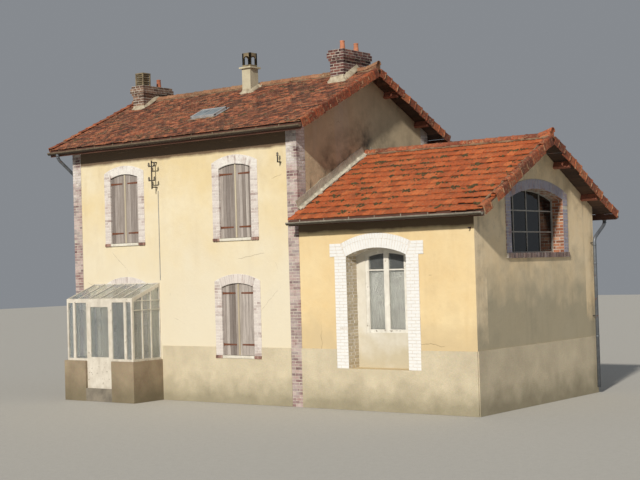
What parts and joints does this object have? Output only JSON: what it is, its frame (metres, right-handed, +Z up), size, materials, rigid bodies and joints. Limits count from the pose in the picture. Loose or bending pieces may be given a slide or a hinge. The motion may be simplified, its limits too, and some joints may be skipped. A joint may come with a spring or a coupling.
{
  "type": "small two-storey railway station building with a lower goods hall and a glazed porch",
  "caption": "Country railway station: tiled two-storey house with brick quoins and shutters, lower goods hall with an arched gable window, and a glazed porch.",
  "frame": {"origin": "middle of the taller block's footprint, at ground level", "axes": "+X along the ridges towards the goods hall, -Y out of the front, +Z up"},
  "size_m": [14.46, 7.66, 9.635],
  "materials": {
    "yellow_render": "lime render, pale ochre, rain stained and paler low down",
    "grey_render": "lime render, grey beige with dark stains",
    "cream_render": "smooth lime render, cream",
    "quoin_brick": "brick in pale mortar with worn white paint",
    "white_brick": "brick painted white, worn through in places",
    "stack_brick": "sooty brick in pale mortar",
    "floor_stone": "plain slab",
    "rough_plinth": "roughcast, grey",
    "weathered_boards": "bare weathered boards, grey brown",
    "timber": "stained roof timber",
    "white_paint": "white gloss paint on joinery",
    "grey_iron": "grey painted iron",
    "glass": "window glass",
    "old_tiles": "small flat clay tiles, brown red with lichen",
    "orange_tiles": "interlocking clay tiles, orange red with moss",
    "pot_clay": "terracotta and grey concrete",
    "curtain_cloth": "pleated grey white net",
    "zinc": "weathered zinc"
  },
  "bodies": {
    "root": {"main_front_wall": "yellow_render", "main_back_wall": "yellow_render", "main_left_gable": "grey_render", "main_right_gable": "grey_render", "front_quoins": "quoin_brick", "back_quoins": "quoin_brick", "front_surrounds": "white_brick", "back_surrounds": "white_brick", "ground_floor": "floor_stone", "upper_floor": "timber", "annex_floor": "floor_stone", "window_sills": "white_brick", "front_shutters": "weathered_boards", "back_shutters": "weathered_boards", "house_door": "weathered_boards", "back_doors": "weathered_boards", "annex_front_wall": "yellow_render", "annex_back_wall": "yellow_render", "annex_gable": "grey_render", "annex_surrounds": "white_brick", "gable_window_surround": "white_brick", "annex_infills": "cream_render", "annex_windows": "white_paint", "gable_window_frame": "grey_iron", "window_glass": "glass", "plinth": "rough_plinth", "main_tiles_front": "old_tiles", "main_tiles_back": "old_tiles", "main_boards_front": "timber", "main_boards_back": "timber", "annex_tiles_front": "orange_tiles", "annex_tiles_back": "orange_tiles", "annex_boards_front": "timber", "annex_boards_back": "timber", "main_ridge_tiles": "old_tiles", "annex_ridge_tiles": "orange_tiles", "main_verge_tiles": "old_tiles", "annex_verge_tiles": "orange_tiles", "main_purlins": "timber", "annex_purlins": "timber", "fascias": "timber", "gutters": "zinc", "downpipes": "zinc", "pipe_clips": "zinc", "left_chimney": "stack_brick", "mid_chimney": "cream_render", "right_chimney": "stack_brick", "chimney_tops": "pot_clay", "skylight": "zinc", "wall_flashing": "zinc", "porch_wall": "rough_plinth", "porch_floor": "floor_stone", "porch_frame": "white_paint", "porch_roof_bars": "white_paint", "porch_glass": "glass", "porch_door": "white_paint", "wire_bracket": "grey_iron", "door_steps": "floor_stone", "hall_curtains": "curtain_cloth", "service_conduit": "grey_iron"}
  },
  "joints": []
}
